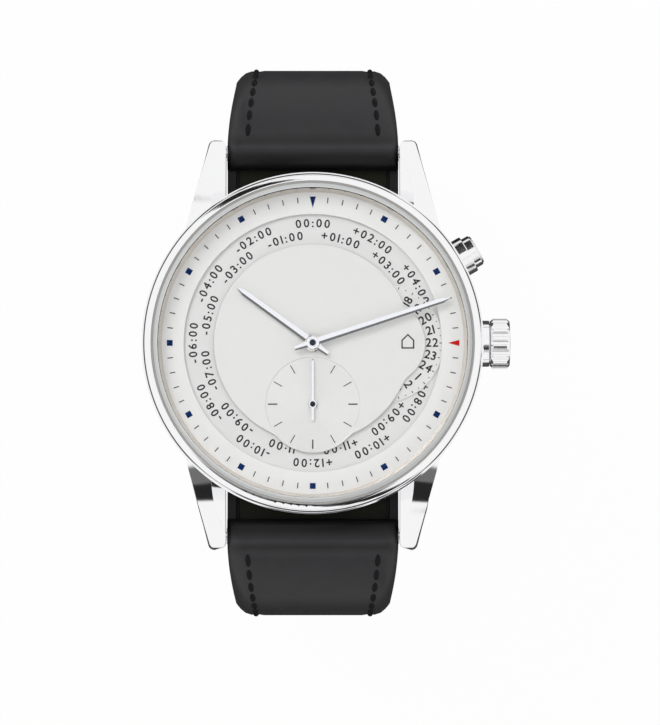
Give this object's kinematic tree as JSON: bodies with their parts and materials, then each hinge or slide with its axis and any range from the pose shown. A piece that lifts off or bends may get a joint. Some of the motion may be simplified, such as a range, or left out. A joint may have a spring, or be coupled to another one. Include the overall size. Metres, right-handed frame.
{
  "type": "world time wristwatch",
  "caption": "Round steel wristwatch with world time ring, 24-hour home time disc, small seconds, fluted crown, pusher and buckled leather strap; the gear train turns behind a glass back",
  "frame": {"origin": "centre of the case back's flat glass, where the watch lies on the wrist", "axes": "+X to 3 o'clock and the crown, +Y to 12 o'clock, +Z out of the dial; the buckled strap hangs to -Z"},
  "size_m": [0.0431, 0.0649, 0.0582],
  "materials": {
    "case_steel": "polished",
    "polished_steel": "mirror polished",
    "crystal": "clear",
    "gasket": "matt",
    "flange": "satin",
    "movement_steel": "fine brushed",
    "dial": "satin silver white",
    "hand_steel": "polished facets",
    "jewel": "polished",
    "gear_brass": "satin",
    "leather": "satin grained"
  },
  "bodies": {
    "case": {"case_middle": "case_steel", "bezel": "polished_steel", "front_crystal": "crystal", "crystal_gasket": "gasket", "inner_flange": "flange", "case_back": "case_steel", "back_crystal": "crystal", "back_crystal_gasket": "gasket", "case_back_seal": "gasket", "case_back_screws": "polished_steel", "movement_ring": "movement_steel", "crown_tube": "polished_steel", "pusher_tube": "polished_steel", "pusher_spring": "movement_steel", "dial_plate": "dial", "central_dial": "dial", "module_plate": "movement_steel", "mainplate": "movement_steel", "train_bridge": "movement_steel", "train_jewels": "jewel", "movement_screws": "movement_steel", "balance_cock": "movement_steel", "hairspring": "movement_steel", "pallet_bridge": "movement_steel", "rotor_bearing": "movement_steel", "spring_bars": "movement_steel", "strap_short": "leather", "strap_long": "leather", "fixed_keeper": "leather"},
    "crown_slider": {"crown_seal": "gasket"},
    "crown": {"crown": "polished_steel", "winding_stem": "movement_steel"},
    "pusher": {"pusher_button": "polished_steel"},
    "minute": {"centre_wheel": "gear_brass", "minute_hand": "hand_steel"},
    "hour": {"hour_wheel": "gear_brass", "hour_hand": "hand_steel"},
    "minute_wheel": {"minute_wheel": "gear_brass"},
    "home_disc": {"home_time_disc": "dial"},
    "city_disc": {"city_ring": "dial"},
    "third": {"third_wheel": "gear_brass"},
    "fourth": {"fourth_wheel": "gear_brass", "seconds_hand": "hand_steel"},
    "escape": {"escape_wheel": "movement_steel"},
    "pallet": {"pallet_fork": "movement_steel"},
    "balance": {"balance_wheel": "gear_brass"},
    "barrel": {"barrel": "gear_brass"},
    "ratchet": {"ratchet_wheel": "movement_steel"},
    "crown_wheel": {"crown_wheel": "movement_steel"},
    "click": {"click": "movement_steel"},
    "rotor": {"rotor": "movement_steel"},
    "buckle": {"buckle_frame": "polished_steel", "buckle_bar": "polished_steel"},
    "tongue": {"buckle_tongue": "polished_steel"},
    "keeper": {"free_keeper": "leather"}
  },
  "joints": [
    {"name": "crown_pull", "type": "slide", "parent": "case", "child": "crown_slider", "axis": [1, 0, 0], "range_m": [0, 0.0012]},
    {"name": "crown_turn", "type": "hinge", "parent": "crown_slider", "child": "crown", "pos_m": [0.02072, 0, 0.0044], "axis": [1, 0, 0], "continuous": true},
    {"name": "pusher_press", "type": "slide", "parent": "case", "child": "pusher", "axis": [-0.866, -0.5, 0], "range_m": [0, 0.0008], "stiffness_N_per_m": 400, "deforming": ["pusher_spring"]},
    {"name": "minute_turn", "type": "hinge", "parent": "case", "child": "minute", "pos_m": [0, 0, 0], "axis": [0, 0, 1], "continuous": true},
    {"name": "hour_turn", "type": "hinge", "parent": "case", "child": "hour", "pos_m": [0, 0, 0], "axis": [0, 0, 1], "continuous": true},
    {"name": "minute_wheel_turn", "type": "hinge", "parent": "case", "child": "minute_wheel", "pos_m": [-0.00218, -0.00101, 0], "axis": [0, 0, 1], "continuous": true},
    {"name": "home_time_turn", "type": "hinge", "parent": "case", "child": "home_disc", "pos_m": [0.00828, 0, 0], "axis": [0, 0, 1], "continuous": true},
    {"name": "city_ring_turn", "type": "hinge", "parent": "case", "child": "city_disc", "pos_m": [0, 0, 0], "axis": [0, 0, 1], "continuous": true},
    {"name": "third_turn", "type": "hinge", "parent": "case", "child": "third", "pos_m": [0.00091, -0.00367, 0], "axis": [0, 0, 1], "continuous": true},
    {"name": "seconds_turn", "type": "hinge", "parent": "case", "child": "fourth", "pos_m": [0, -0.00712, 0], "axis": [0, 0, 1], "continuous": true},
    {"name": "escape_turn", "type": "hinge", "parent": "case", "child": "escape", "pos_m": [-0.0027, -0.00901, 0], "axis": [0, 0, 1], "continuous": true},
    {"name": "pallet_swing", "type": "hinge", "parent": "case", "child": "pallet", "pos_m": [-0.00529, -0.00807, 0], "axis": [0, 0, 1], "range_deg": [-5, 5]},
    {"name": "balance_swing", "type": "hinge", "parent": "case", "child": "balance", "pos_m": [-0.00815, -0.00606, 0], "axis": [0, 0, 1], "range_deg": [-270, 270]},
    {"name": "barrel_turn", "type": "hinge", "parent": "case", "child": "barrel", "pos_m": [0.00366, 0.00436, 0], "axis": [0, 0, 1], "continuous": true},
    {"name": "ratchet_turn", "type": "hinge", "parent": "case", "child": "ratchet", "pos_m": [0.00366, 0.00436, 0], "axis": [0, 0, 1], "continuous": true},
    {"name": "crown_wheel_turn", "type": "hinge", "parent": "case", "child": "crown_wheel", "pos_m": [0.00922, 0.00103, 0], "axis": [0, 0, 1], "continuous": true},
    {"name": "click_lift", "type": "hinge", "parent": "case", "child": "click", "pos_m": [-0.00012, 0.00655, 0], "axis": [0, 0, 1], "range_deg": [0, 12]},
    {"name": "rotor_turn", "type": "hinge", "parent": "case", "child": "rotor", "pos_m": [0, 0, 0], "axis": [0, 0, 1], "continuous": true},
    {"name": "buckle_turn", "type": "hinge", "parent": "case", "child": "buckle", "pos_m": [0, -0.003, -0.0431], "axis": [1, 0, 0], "range_deg": [0, 3]},
    {"name": "tongue_turn", "type": "hinge", "parent": "buckle", "child": "tongue", "pos_m": [0, -0.003, -0.0431], "axis": [1, 0, 0], "range_deg": [0, 3]},
    {"name": "free_keeper_slide", "type": "hinge", "parent": "case", "child": "keeper", "pos_m": [0, 0.0112, -0.0265], "axis": [1, 0, 0], "range_deg": [-18, 30]}
  ],
  "couplings": [
    {"joint": "hour_turn", "follows": "minute_turn", "ratio": 0.083333},
    {"joint": "minute_wheel_turn", "follows": "minute_turn", "ratio": -0.33333},
    {"joint": "home_time_turn", "follows": "minute_turn", "ratio": -0.041667},
    {"joint": "third_turn", "follows": "minute_turn", "ratio": -8},
    {"joint": "seconds_turn", "follows": "minute_turn", "ratio": 60},
    {"joint": "escape_turn", "follows": "minute_turn", "ratio": -600},
    {"joint": "barrel_turn", "follows": "minute_turn", "ratio": -0.14286},
    {"joint": "ratchet_turn", "follows": "crown_wheel_turn", "ratio": -1}
  ]
}
